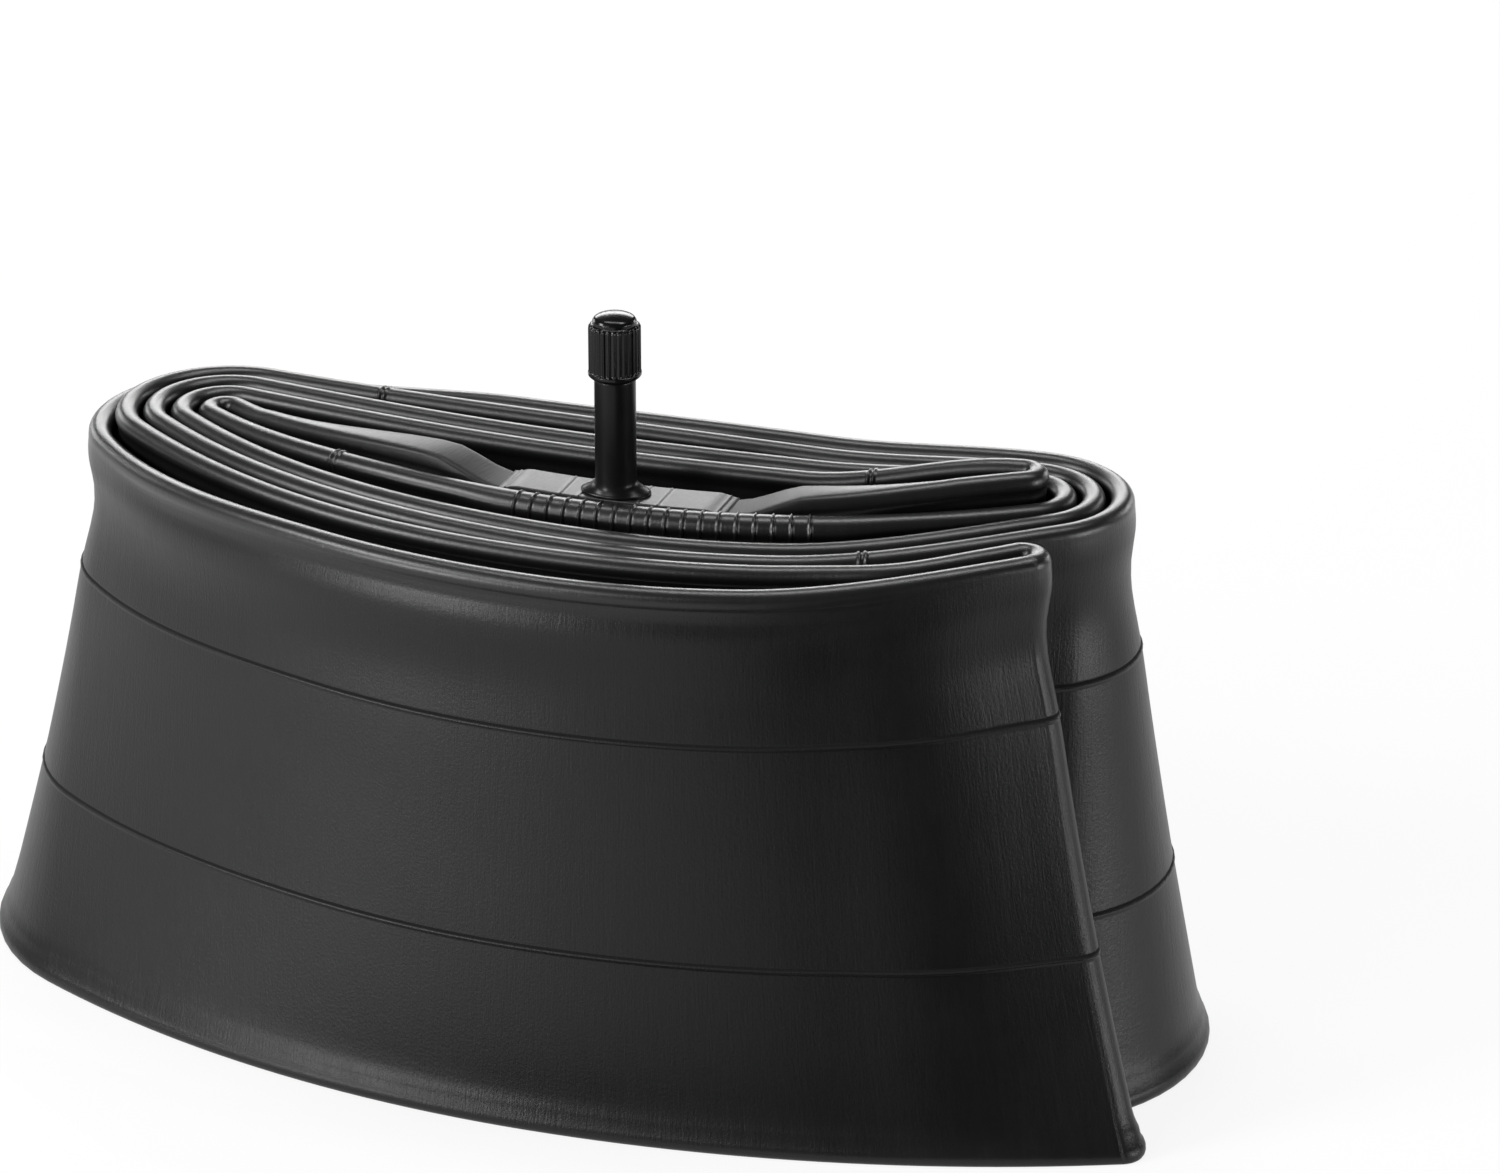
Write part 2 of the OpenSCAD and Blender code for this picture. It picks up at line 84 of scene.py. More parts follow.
flap_tip = {"at": flap_end, "radius": fold_radius, "rise": right_rise, "drift": flap_drift, "growth": 0}
tongue_tip = {"at": (right_end, 0), "radius": fold_radius, "rise": tongue_rise,
              "drift": (end_flare, -end_lean), "growth": 0}
# Each leg of the route is a lay and the fold at its end
legs = [(0, left_fold(4)), (5, right_fold(3)), (2, left_fold(2)), (7, right_fold(1)), (4, left_fold(0)),
        (9, tongue_tip), (8, left_fold(1)), (3, right_fold(2)), (6, left_fold(3)), (1, flap_tip)]


def fold_at(leg, spread):
    fold = legs[leg % len(legs)][1]
    return (fold["at"][0] + spread * fold["drift"][0], fold["at"][1] + spread * fold["drift"][1],
            fold["radius"] + spread * fold["growth"])


def bow(leg, step, spread):
    """Middle, radius and end angle of a lay's arc to the fold before it (-1) or after it (1)."""
    lay, other = legs[leg % len(legs)][0], legs[(leg + step) % len(legs)][0]
    middle = lay_middle[lay] + spread * (-front_flare if lay < front_lays else back_flare)
    x, y, radius = fold_at(leg if step > 0 else leg - 1, spread)
    side = -1 if lay_middle[lay] < lay_middle[other] else 1
    drop = middle - y - side * radius
    drop = drop if abs(drop) > 0.001 else 0.001
    arc = (x * x + (middle - y) ** 2 - radius * radius) / (2 * drop)
    return middle, arc, math.atan2(x, math.copysign(1, arc) * (y - middle + arc))


def lay_points(leg, along, spread):
    points = np.zeros((len(along), 2))
    for step in (-1, 1):
        half = along * step >= 0
        middle, arc, end = bow(leg, step, spread)
        angle = np.abs(along[half]) * end
        points[half] = np.stack([abs(arc) * np.sin(angle), middle - arc * (1 - np.cos(angle))], 1)
    return points


def fold_points(leg, along, spread):
    x, y, radius = fold_at(leg, spread)
    outward = math.pi if x < 0 else 0
    ends = np.vstack([lay_points(leg, np.array([1.0]), spread),
                      lay_points(leg + 1, np.array([-1.0]), spread)])
    turned_by = np.arctan2(ends[:, 1] - y, ends[:, 0] - x) - outward
    first, last = (turned_by + math.pi) % (2 * math.pi) - math.pi
    angle = outward + first + along * (last - first)
    return np.stack([x + radius * np.cos(angle), y + radius * np.sin(angle)], 1)


def place_on_lay(lay, x):
    """The leg of a lay, and how far along it a point x from the valve lies, from -1 to 1."""
    leg = [name for name, _ in legs].index(lay)
    step = 1 if legs[leg][1]["at"][0] * x > 0 else -1
    _, arc, end = bow(leg, step, 0)
    return leg, step * math.asin(abs(x) / abs(arc)) / abs(end)


# Ridges across the beads, as (place along, height): the row of ribs that the mould left on the lay in front
# of the valve, and the double lines of single splices. A mark is (lay, place, shape, how far down it runs)
rib = [(-0.6, 0), (-0.3, 0), (-0.14, 0.27), (0.06, 0.29), (0.2, -0.12), (0.34, -0.1), (0.48, 0), (0.8, 0)]
splice = [(-1.3, 0), (-0.95, 0), (-0.7, 0.28), (-0.42, 0.28), (-0.22, -0.12), (0.2, -0.12), (0.4, 0.28),
          (0.68, 0.28), (0.92, 0), (1.25, 0)]
first_rib, rib_pitch, rib_count, rib_depth, splice_depth = -17, 3.35, 18, 9, 4
cross_marks = [(ribbed_lay, first_rib + rib_pitch * i, rib, rib_depth) for i in range(rib_count)]
splice_places = ((ribbed_lay, -58.5), (6, -64.1), (8, 43.8), (2, 53.2))
cross_marks += [(lay, x, splice, splice_depth) for lay, x in splice_places]
marked = {}
for lay, x, shape, depth in cross_marks:
    for offset, height in shape:
        leg, along = place_on_lay(lay, x + offset)
        marked.setdefault(leg, []).append((along, height, depth))
lay_steps, fold_steps, clear_of_mark = 48, 24, 0.004
stations = []
for leg in range(len(legs)):
    plain = np.linspace(-1, 1, lay_steps + 1)[:-1]
    extra = marked.get(leg, [])
    taken = np.array([e[0] for e in extra] or [9])
    row = [(a, 0, 0) for a in plain if np.abs(taken - a).min() > clear_of_mark] + extra
    stations += [(leg, along, 0, height, depth) for along, height, depth in sorted(row)]
    stations += [(leg, along, 1, 0, 0) for along in np.linspace(0, 1, fold_steps + 1)[:-1]]
station_leg, station_along, station_fold, mark_height, mark_depth = np.array(stations).T


def route(spread):
    points = np.zeros((len(stations), 2))
    for leg in range(len(legs)):
        for on_fold, where in ((0, lay_points), (1, fold_points)):
            here = (station_leg == leg) & (station_fold == on_fold)
            points[here] = where(leg, station_along[here], spread)
    return points


bell_power, waist_depth, waist_at, waist_reach = 1.42, 0.08, 0.16, 0.085


def flare(below):
    """How far the skirt has spread at a share below the top: a slight waist, then a bell."""
    waist = waist_depth * math.exp(-((below - waist_at) / waist_reach) ** 2)
    return max(below, 0) ** bell_power - waist


def ease(x):
    x = np.clip(x, 0, 1)
    return x * x * (3 - 2 * x)


# Under the valve the bead is pressed flat into a pad, which runs out into the round bead on both sides
top_line = route(0)
steps = np.linalg.norm(np.roll(top_line, -1, 0) - top_line, axis=1)
run = np.concatenate([[0], np.cumsum(steps)[:-1]])
station_lay = np.where(station_fold == 0, [legs[int(leg)][0] for leg in station_leg], -1)
top_x = top_line[:, 0]
pad_half_length, pad_ramp, pad_half, no_pad = 23, 15, 4.7, 999
left_run_out, right_run_out = 58, 40
pad_run_out = np.where(top_x < 0, left_run_out, right_run_out)
past_pad = np.where(station_lay == valve_lay, np.abs(top_x) - pad_half_length, no_pad)
pad = 1 - ease(past_pad / pad_run_out)

# Along its ribs the bead is blown a little fuller
fuller_by, fuller_left, fuller_right, fuller_ease = 0.28, -32, 56, 12
along_ribs = ease((top_x - fuller_left) / fuller_ease) * ease((fuller_right - top_x) / fuller_ease)
fuller = 1 + fuller_by * (station_lay == ribbed_lay) * along_ribs

# On the outside of the pack, from the flap's tip round the left end and the back to the right end, the bead
# runs down into the wall in one soft roll
front_leg, back_leg, inward_leg, flap_leg = 0, 1, 2, 9
on_lay = station_fold == 0
outermost = np.isin(station_leg, (front_leg, back_leg)) | ((station_leg == flap_leg) & ~on_lay)
flap_share, inward_share = 0.2, 0.3
outer_roll = np.where(outermost, 1.0, 0.0)
outer_roll += (station_leg == flap_leg) * on_lay * ease((station_along - 1 + flap_share) / flap_share)
outer_roll += (station_leg == inward_leg) * on_lay * (1 - ease((station_along + 1) / inward_share))
roll_height, roll_at, roll_reach = 1.32, 6.5, 8.5

# Along the front the bead stands clear of the wall, which swells into a shoulder under it
front_lay = 0
shoulder_from, shoulder_grows, shoulder_to, shoulder_dies = -0.85, 0.4, 0.98, 0.3
shouldered = ease((station_along - shoulder_from) / shoulder_grows)
shouldered *= ease((shoulder_to - station_along) / shoulder_dies) * (station_lay == front_lay)
shoulder_height, shoulder_start, shoulder_rise, shoulder_end, shoulder_fade = 1.6, 4.2, 5.5, 10, 10

# Some air is left in the flap, so its front rounds off towards the tip; the peak of the curve is a sixteenth
puff_height, puff_end, puff_length, puff_start, puff_ease = 1.3, 84, 34, 2, 10
from_tip = np.where(station_lay == front_lay, np.clip((puff_end - top_x) / puff_length, 0, 1), 0)
flap_puff = puff_height * 16 * from_tip ** 2 * (1 - from_tip) ** 2

# Near its tip the back of the flap is drawn up to its front
pinch_depth, pinch_at, pinch_reach = 3.4, 63, 13
pinch = np.where(station_lay == flap_back, pinch_depth * np.exp(-((top_x - pinch_at) / pinch_reach) ** 2), 0)

# Top edge of each station over the level lays
level_share = 0.4
rise = np.zeros(len(stations))
for i, (leg, along, on_fold, _, _) in enumerate(stations):
    fold_rise = legs[leg if on_fold or along >= 0 else leg - 1][1]["rise"]
    level = valve_rise + edge_rise * ease(past_pad[i] / pad_ramp) if station_lay[i] == valve_lay else 0
    level = rib_rise if station_lay[i] == ribbed_lay else level
    to_fold = ease((abs(along) - level_share) / (1 - level_share))
    rise[i] = fold_rise if on_fold else level + (fold_rise - level) * to_fold

# Half of the section, from its crown down one side, as rows of [share of the top's height, height over that,
# half width, the pad's height, the pad's half width, outward direction across, outward direction up]
pad_edge, pad_power = 2.2, 0.28
section = []
for angle in (90, 78, 66, 54, 42, 30, 15, 0, -15, -30, -42):
    c, s = math.cos(math.radians(angle)), math.sin(math.radians(angle))
    if angle >= 0:
        flat = (-pad_edge + pad_edge * max(s, 0) ** pad_power, pad_half * max(c, 0) ** pad_power)
    else:
        flat = {-15: (-3.0, 4.6), -30: (-3.9, 4.2), -42: (-4.9, 3.5)}[angle]
    section.append([1, bead_radius * (s - 1), bead_radius * max(c, 0), flat[0], flat[1], c, s])
for drop, half, pad_drop, pad_width in ((4.7, 1.82, 5.6, 2.8), (5.6, 1.76, 6.4, 2.2), (6.7, 1.78, 7.2, 1.9),
                                        (neck_depth, 1.85, neck_depth, 1.85)):
    section.append([1, -drop, half, -pad_drop, pad_width, 1, 0])
swell_height, swell_at, swell_reach = 0.8, 13, 10
parting_lines = (79.2, 36.3)
parting_shape = [(1.1, 0), (0.82, 0), (0.7, -0.5), (0.26, -0.58), (0.08, 0.22), (-0.12, 0.28), (-0.3, 0),
                 (-0.8, 0)]
parting_below, parting_above = -1.2, 1.4
wall_top, wall_bottom, wall_rows = 99.5, 11, 28
heights = [(z, 0) for z in np.linspace(wall_top, wall_bottom, wall_rows)]
for parting in parting_lines:
    heights = [h for h in heights if not parting_below < h[0] - parting < parting_above]
    heights += [(parting + offset, ridge) for offset, ridge in parting_shape]
for z, ridge in sorted(heights, reverse=True):
    # A little air is left in the wall under the bead
    swell = swell_height * math.exp(-((pack_height - z - swell_at) / swell_reach) ** 2)
    half = wall_half + swell + ridge
    section.append([z / pack_height, 0, half, 0, half, 1, 0])
for z, half in ((8, wall_half), (6.6, 1.3), (5.6, 1.5), (4.7, 1.75)):
    section.append([0, z, half, z, half, 1, 0])
for angle in (40, 20, 0, -20, -37, -51.5):
    c, s = math.cos(math.radians(angle)), math.sin(math.radians(angle))
    z = max(foot_centre + bead_radius * s, 0)
    section.append([0, z, bead_radius * c, z, bead_radius * c, c, s])

# The pressed walls wander a little between their beads, and the top edge ripples, as (height, length, shift)
wander = ((0.28, 37, 1.3), (0.17, 15, 2.1))
ripple = ((0.25, 47, 0), (0.12, 19, 1))
mark_fade = 3
groove_low, groove_high = 0.1, 0.8
rows = []
down = 0
for i, (share, offset, half, pad_offset, pad_width, out, up) in enumerate(section):
    nominal = share * pack_height + offset
    below = 1 - nominal / pack_height
    line = route(flare(below))
    tangent = np.roll(line, -1, 0) - np.roll(line, 1, 0)
    normal = np.stack([-tangent[:, 1], tangent[:, 0]], 1) / np.linalg.norm(tangent, axis=1)[:, None]
    sway = math.sin(math.pi * below) * sum(height * np.sin(run / length + shift * station_leg)
                                           for height, length, shift in wander)
    line = line + sway[:, None] * normal - np.outer(pinch * (1 - below) ** 2, (0, 1))
    lift = rise + sum(height * np.sin(run / length + shift) for height, length, shift in ripple)
    lift = np.where(pad > 0, rise, lift)
    mark = mark_height * np.where(mark_depth > 0, ease((mark_depth - (pack_height - nominal)) / mark_fade), 0)
    round_bead = fuller if share == 1 else 1
    z = share * (pack_height + lift) + (1 - pad) * offset * round_bead + pad * pad_offset + mark * up
    width = (1 - pad) * half * round_bead + pad * pad_width + mark * out
    if i:
        down += math.hypot(nominal - before[0], half - before[1])
    before = (nominal, half)
    drop = pack_height - nominal
    groove = any(groove_low < nominal - parting < groove_high for parting in parting_lines)
    shoulder = shoulder_height * ease((drop - shoulder_start) / shoulder_rise)
    shoulder *= math.exp(-(max(drop - shoulder_end, 0) / shoulder_fade) ** 2)
    soft = roll_height * math.exp(-((drop - roll_at) / roll_reach) ** 2)
    outer = wall_half + shouldered * shoulder + (1 - shouldered) * soft
    roll = np.maximum(outer - half, 0) if drop > bead_radius else 0
    puffed = flap_puff * ease((drop - puff_start) / puff_ease) * ease(nominal / puff_ease)
    for hand in ((1, -1) if i else (1,)):
        wide = width + roll * outer_roll + puffed if hand > 0 else width
        across = line + hand * wide[:, None] * normal
        rows.append((hand * (i + 0.5), np.column_stack([across + fold_origin, z]), hand * down, groove))
rows.sort(key=lambda row: row[0])


class Shade:
    """One output of a shader node. Arithmetic on it adds Math nodes, and node() adds any other kind."""

    def __init__(self, tree, output=None):
        self.tree, self.output = tree, output

    def node(self, kind, settings=None, values=None, output=0):
        made = self.tree.nodes.new("ShaderNode" + kind)
        for name, value in (settings or {}).items():
            setattr(made, name, value)
        for key, value in (values or {}).items():
            if isinstance(value, Shade):
                self.tree.links.new(value.output, made.inputs[key])
            else:
                made.inputs[key].default_value = value
        return Shade(self.tree, made.outputs[output] if made.outputs else None)

    def maths(self, operation, first, second=0.0):
        return self.node("Math", {"operation": operation}, {0: first, 1: second})

    def __add__(self, other):
        return self.maths("ADD", self, other)

    def __sub__(self, other):
        return self.maths("SUBTRACT", self, other)

    def __rsub__(self, other):
        return self.maths("SUBTRACT", other, self)

    def __mul__(self, other):
        return self.maths("MULTIPLY", self, other)

    __radd__, __rmul__ = __add__, __mul__

    def __truediv__(self, other):
        return self.maths("DIVIDE", self, other)

    def noise(self, vector, scale, detail=2.0, roughness=0.5):
        return self.node("TexNoise", {}, {"Vector": vector, "Scale": scale, "Detail": detail,
                                          "Roughness": roughness})

    def mix(self, factor, first, second):
        return self.node("Mix", {"data_type": "RGBA"}, {0: factor, 6: (*first, 1), 7: (*second, 1)}, 2)

    def stretch(self, x, y, z=0.0):
        return self.node("CombineXYZ", {}, {"X": x, "Y": y, "Z": z})

    def scaled(self, vector, x, y, z):
        return self.node("Mapping", {}, {"Vector": vector, "Scale": (x, y, z)})


def new_finish(name):
    material = bpy.data.materials.new(name)
    material.use_nodes = True
    material.node_tree.nodes.clear()
    return material, Shade(material.node_tree)


def end_finish(shade, values, bump=None, depth=0.0001, strength=1.0):
    if bump is not None:
        values["Normal"] = shade.node("Bump", {}, {"Height": bump, "Distance": depth, "Strength": strength})
    shade.node("OutputMaterial", {}, {"Surface": shade.node("BsdfPrincipled", {}, values)})


def add_piece(name, points, faces, material, body, nodes, measures=None):
    """A mesh from points in millimetres, that rides on a body and stands for the named nodes."""
    mesh = bpy.data.meshes.new(name)
    mesh.from_pydata((np.asarray(points) / 1000).tolist(), [], faces)
    for measure, values in (measures or {}).items():
        stored = mesh.attributes.new(measure, "FLOAT", "POINT")
        stored.data.foreach_set("value", np.asarray(values, np.float32))
    shape = bmesh.new()
    shape.from_mesh(mesh)
    bmesh.ops.remove_doubles(shape, verts=shape.verts, dist=1e-7)
    bmesh.ops.recalc_face_normals(shape, faces=shape.faces)
    shape.to_mesh(mesh)
    shape.free()
    mesh.polygons.foreach_set("use_smooth", [True] * len(mesh.polygons))
    mesh.materials.append(material)
    piece = bpy.data.objects.new(name, mesh)
    bpy.context.scene.collection.objects.link(piece)
    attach(piece, body)
    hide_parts(*nodes)
    return piece


def grid_faces(rows, columns, close_rows=True, close_columns=True):
    """Squares between rows of points, each row closed on itself, and the last row joined to the first."""
    return [[r * columns + c, r * columns + (c + 1) % columns, (r + 1) % rows * columns + (c + 1) % columns,
             (r + 1) % rows * columns + c]
            for r in range(rows - (not close_rows)) for c in range(columns - (not close_columns))]


tube_rubber, shade = new_finish("tube_rubber")
along = shade.node("Attribute", {"attribute_name": "along"}, {}, 2)
across = shade.node("Attribute", {"attribute_name": "across"}, {}, 2)
# Fine marks of the press run across the strip, and a soft cloudiness lies over them
streaks = shade.noise(shade.stretch(along * 2.6, across * 0.16), 1.0, 4.0, 0.65)
scuffs = shade.noise(shade.stretch(along * 0.7, across * 0.05), 1.0, 3.0, 0.6)
clouds = shade.noise(shade.stretch(along * 0.035, across * 0.05), 1.0, 3.0, 0.55)
grain = shade.noise(shade.stretch(along * 1.9, across * 1.5), 1.0, 3.0, 0.6)
tone = shade.mix(clouds * 0.6 + scuffs * 0.4, (0.003, 0.003, 0.0032), (0.008, 0.008, 0.0084))
flattened = shade.node("Attribute", {"attribute_name": "flattened"}, {}, 2)
groove = shade.node("Attribute", {"attribute_name": "groove"}, {}, 2)
bead_reach = 9
on_bead = (1 - shade.maths("MINIMUM", shade.maths("ABSOLUTE", across) / bead_reach, 1.0)) * (1 - flattened)
end_finish(shade, {
    "Base Color": tone,
    "Roughness": (0.24 + 0.12 * streaks + 0.12 * clouds + 0.06 * scuffs - 0.05 * on_bead + 0.1 * flattened
                  + 0.6 * groove),
    "Specular IOR Level": 0.3,
    "Coat Weight": on_bead * (0.55 + 0.45 * streaks),
    "Coat Roughness": 0.36,
    "Coat IOR": 1.45,
}, streaks * 0.5 + scuffs * 0.3 + grain * 0.55, 0.00018, 0.55)
count = len(stations)
add_piece("tube_folded", np.vstack([row[1] for row in rows]), grid_faces(len(rows), count), tube_rubber,
          "tube", ["tube"],
          {"along": np.tile(run, len(rows)), "across": np.repeat([row[2] for row in rows], count),
           "flattened": np.tile(pad, len(rows)), "groove": np.repeat([row[3] for row in rows], count)})

# Valve patch: a strip of calendered rubber, bonded flat along the innermost lay to carry the valve.
# It keeps the marks of the mould across it, and its ends are feathered down to the tube.
patch_half_length, patch_half = pad_half_length, pad_half
patch_thickness, patch_corner, patch_edge, corner_power = 1.0, 0.35, 0.25, 0.4
patch_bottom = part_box("valve_patch")[0].z * 1000
feather, feather_end = 4, 0.12
crease = [(-0.35, 0), (-0.12, 0.14), (0.1, 0.14), (0.3, -0.06), (0.5, 0)]
crease_places, crease_room = (-21.6, -9.9, -6.1, 5.6, 9.8, 21.4), 0.7
patch_x = {float(x): 0.0 for x in np.linspace(-patch_half_length, patch_half_length, 70)}
for x in crease_places:
    for near in [p for p in patch_x if abs(p - x) < crease_room]:
        del patch_x[near]
    patch_x.update({x + offset: height for offset, height in crease})
patch_points = []
valve_leg = [lay for lay, _ in legs].index(valve_lay)
corner = [(math.cos(a) ** corner_power, math.sin(a) ** corner_power)
          for a in np.radians([1, 12, 30, 50, 70, 84, 89.5])]
patch_side = [(patch_half, 0)]
patch_side += [(patch_half - patch_corner + patch_corner * c, patch_edge + (1 - patch_edge) * s)
               for c, s in corner]
patch_outline = patch_side + [(-y, h) for y, h in reversed(patch_side)]
for x in sorted(patch_x):
    leg, at = place_on_lay(valve_lay, x) if abs(x) > 1e-6 else (valve_leg, 0.0)
    centre = lay_points(leg, np.array([at]), 0)[0] + fold_origin
    thick = patch_thickness * (feather_end + (1 - feather_end) * ease((patch_half_length - abs(x)) / feather))
    for y, h in patch_outline:
        patch_points.append((centre[0], centre[1] + y, patch_bottom + h * thick + patch_x[x] * (h > 0.5)))
patch_count = len(patch_outline)
patch_faces = grid_faces(len(patch_x), patch_count, close_rows=False)
patch_faces += [list(range(patch_count)), [len(patch_points) - 1 - i for i in range(patch_count)]]

patch_rubber, shade = new_finish("patch_rubber")
place = shade.node("TexCoord", {}, {}, "Object")
weave = shade.noise(shade.scaled(place, 2600, 900, 900), 1.0, 3.0, 0.6)
bloom = shade.noise(place, 160.0, 3.0, 0.55)
end_finish(shade, {
    "Base Color": shade.mix(bloom, (0.02, 0.02, 0.021), (0.04, 0.04, 0.0415)),
    "Roughness": 0.28 + 0.12 * weave + 0.1 * bloom,
    "Specular IOR Level": 0.5,
}, weave, 0.00008, 0.4)
add_piece("valve_patch_strip", patch_points, patch_faces, patch_rubber, "tube",
          ["valve_patch"])

# Stem insert: a brass tube, turned from bar. Its shank is bonded inside the rubber stem, and its tip above
# the rubber has the cap's thread outside and the core's thread in its chamber. Heights on the valve are from
# its tip.
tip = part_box("stem_insert")[1].z * 1000
rim, shank_end = -9.5, -34
chamber_floor = -6.4
cap_pitch, core_pitch = 0.79375, 0.70556


def rounded(corners, pieces=4):
    """The line through corners given as (radius, height, rounding), with each corner rounded."""
    line = []
    for i, (r, z, rounding) in enumerate(corners):
        here = np.array([r, z], float)
        if not rounding:
            line.append(here)
            continue
        ends = []
        for other in (corners[i - 1], corners[(i + 1) % len(corners)]):
            way = np.array(other[:2], float) - here
            ends.append(here + way / np.linalg.norm(way) * min(rounding, 0.45 * np.linalg.norm(way)))
        for t in np.linspace(0, 1, pieces + 1):
            line.append((1 - t) ** 2 * ends[0] + 2 * t * (1 - t) * here + t * t * ends[1])
    return line


def fine(line, step):
    """The same closed line with no stretch longer than step."""
    made = []
    for here, after in zip(line, line[1:] + line[:1]):
        n = max(1, math.ceil(np.linalg.norm(after - here) / step))
        made += [here + (after - here) * k / n for k in range(n)]
    return made


def turned(name, line, material, body, nodes, sides=96, change=None):
    """A closed line of (radius, height) turned round the valve; change gives the radius at an angle."""
    angles = np.arange(sides) * 2 * math.pi / sides
    points = []
    for r, z in line:
        radius = np.full(sides, r) if change is None else change(np.full(sides, r), z, angles)
        points.append(np.column_stack([valve[0] + radius * np.cos(angles), valve[1] + radius * np.sin(angles),
                                       np.full(sides, tip + z)]))
    return add_piece(name, np.vstack(points), grid_faces(len(points), sides), material, body, nodes)


def thread(z, angles, pitch, bottom, top):
    """How deep a screw thread is cut at a height, from 0 at its crest to 1 at its root."""
    turn = (z / pitch - angles / (2 * math.pi)) % 1
    fade = ease((z - bottom) / (0.6 * pitch)) * ease((top - z) / (0.6 * pitch))
    return fade * ease(1.5 * np.abs(2 * turn - 1) - 0.25)


cap_thread_depth, core_thread_depth, plain_end = 0.42, 0.24, 0.1
insert_outside, chamber_least, chamber_most, thread_end = 3.6, 2.5, 2.7, -0.05


def insert_thread(radius, z, angles):
    outside = (radius > insert_outside) & (rim + plain_end < z < thread_end)
    inside = (radius > chamber_least) & (radius < chamber_most) & (chamber_floor + plain_end < z < thread_end)
    outer_thread = thread(z, angles, cap_pitch, rim + plain_end, -plain_end)
    outer_cut = cap_thread_depth * outside * outer_thread
    inner_thread = thread(z, angles, core_pitch, chamber_floor + plain_end, -plain_end)
    inner_cut = core_thread_depth * inside * inner_thread
    return radius - outer_cut + inner_cut


brass, shade = new_finish("insert_brass")
place = shade.node("TexCoord", {}, {}, "Object")
lathe_lines = shade.noise(shade.scaled(place, 60, 60, 9000), 1.0, 2.0, 0.6)
tarnish = shade.noise(place, 420.0, 4.0, 0.6)
end_finish(shade, {
    "Base Color": shade.mix(tarnish, (0.50, 0.36, 0.15), (0.78, 0.60, 0.30)),
    "Metallic": 1.0,
    "Roughness": 0.2 + 0.14 * lathe_lines + 0.16 * tarnish,
}, lathe_lines, 0.00002, 0.5)
shank_radius, tip_radius, chamber_radius, bore_radius, air_radius = 2.8, 3.85, 2.65, 2.05, 1.3
bore_top, bore_bottom = -10.4, -17.8
insert_line = rounded([
    (shank_radius, shank_end, 0.15), (shank_radius, rim, 0), (tip_radius, rim, 0.15), (tip_radius, 0, 0.35),
    (chamber_radius, 0, 0.25), (chamber_radius, chamber_floor, 0), (bore_radius, bore_top, 0),
    (bore_radius, bore_bottom, 0.1), (air_radius, bore_bottom, 0.1), (air_radius, shank_end, 0.1)])
turned("stem_insert_brass", fine(insert_line, 0.11), brass, "tube", ["stem_insert"], 80,
       insert_thread)

# Stem cover: smooth rubber moulded round the brass insert and onto the patch in one press, so it runs out
# into an oval foot with a thin raised lip.
foot_bottom, foot_height, foot_power, stem_radius = -33, 3.4, 2.4, 4.0
foot_half_length, foot_half_width, cover_outside = 7.0, 4.65, 3
lip_height, lip_at, lip_reach = 0.24, 0.35, 0.18


def oval_foot(radius, z, angles):
    spread = ease(1 - (z - foot_bottom) / foot_height) ** foot_power
    oval = 1 / np.sqrt((np.cos(angles) / foot_half_length) ** 2 + (np.sin(angles) / foot_half_width) ** 2)
    lip = lip_height * math.exp(-((z - foot_bottom - lip_at) / lip_reach) ** 2)
    return np.where(radius > cover_outside, radius + (oval - stem_radius) * spread + lip, radius)


stem_rubber, shade = new_finish("stem_rubber")
place = shade.node("TexCoord", {}, {}, "Object")
drag = shade.noise(shade.scaled(place, 1500, 1500, 90), 1.0, 3.0, 0.6)
haze = shade.noise(place, 230.0, 3.0, 0.5)
end_finish(shade, {
    "Base Color": shade.mix(haze, (0.003, 0.003, 0.0033), (0.007, 0.007, 0.0074)),
    "Roughness": 0.22 + 0.08 * drag + 0.10 * haze,
    "Specular IOR Level": 0.2,
}, drag, 0.00004, 0.25)
cover_line = rounded([(stem_radius, foot_bottom, 0.2), (stem_radius, rim, 0.35), (shank_radius, rim, 0),
                      (shank_radius, foot_bottom, 0)])
turned("stem_cover_sleeve", fine(cover_line, 0.22), stem_rubber, "tube", ["stem_cover"], 96,
       oval_foot)

# Valve core: the replaceable inside of the valve. A brass barrel holds the spring, and its neck carries a
# threaded plug with a flat-sided head that screws into the chamber. A white ring seals it on its seat.
core_brass, shade = new_finish("core_brass")
place = shade.node("TexCoord", {}, {}, "Object")
tool_marks = shade.noise(shade.scaled(place, 90, 90, 7000), 1.0, 2.0, 0.6)
stain = shade.noise(place, 700.0, 4.0, 0.6)
end_finish(shade, {
    "Base Color": shade.mix(stain, (0.56, 0.42, 0.19), (0.82, 0.66, 0.36)),
    "Metallic": 1.0,
    "Roughness": 0.18 + 0.14 * tool_marks + 0.16 * stain,
}, tool_marks, 0.00002, 0.5)
barrel_radius, neck_radius, pin_way, hollow_radius = 1.85, 1.5, 0.7, 1.45
barrel_bottom, barrel_floor, hollow_top, barrel_top, neck_top = -13.45, -12.65, -6.75, -5.45, -4.25
barrel_line = rounded([
    (barrel_radius, barrel_bottom, 0.12), (barrel_radius, barrel_top, 0.1), (neck_radius, barrel_top, 0),
    (neck_radius, neck_top, 0.1), (pin_way, neck_top, 0.1), (pin_way, hollow_top, 0),
    (hollow_radius, hollow_top, 0.1), (hollow_radius, barrel_floor, 0.1), (pin_way, barrel_floor, 0),
    (pin_way, barrel_bottom, 0.1)])
turned("core_barrel_tube", barrel_line, core_brass, "core", ["core_barrel"], 48)

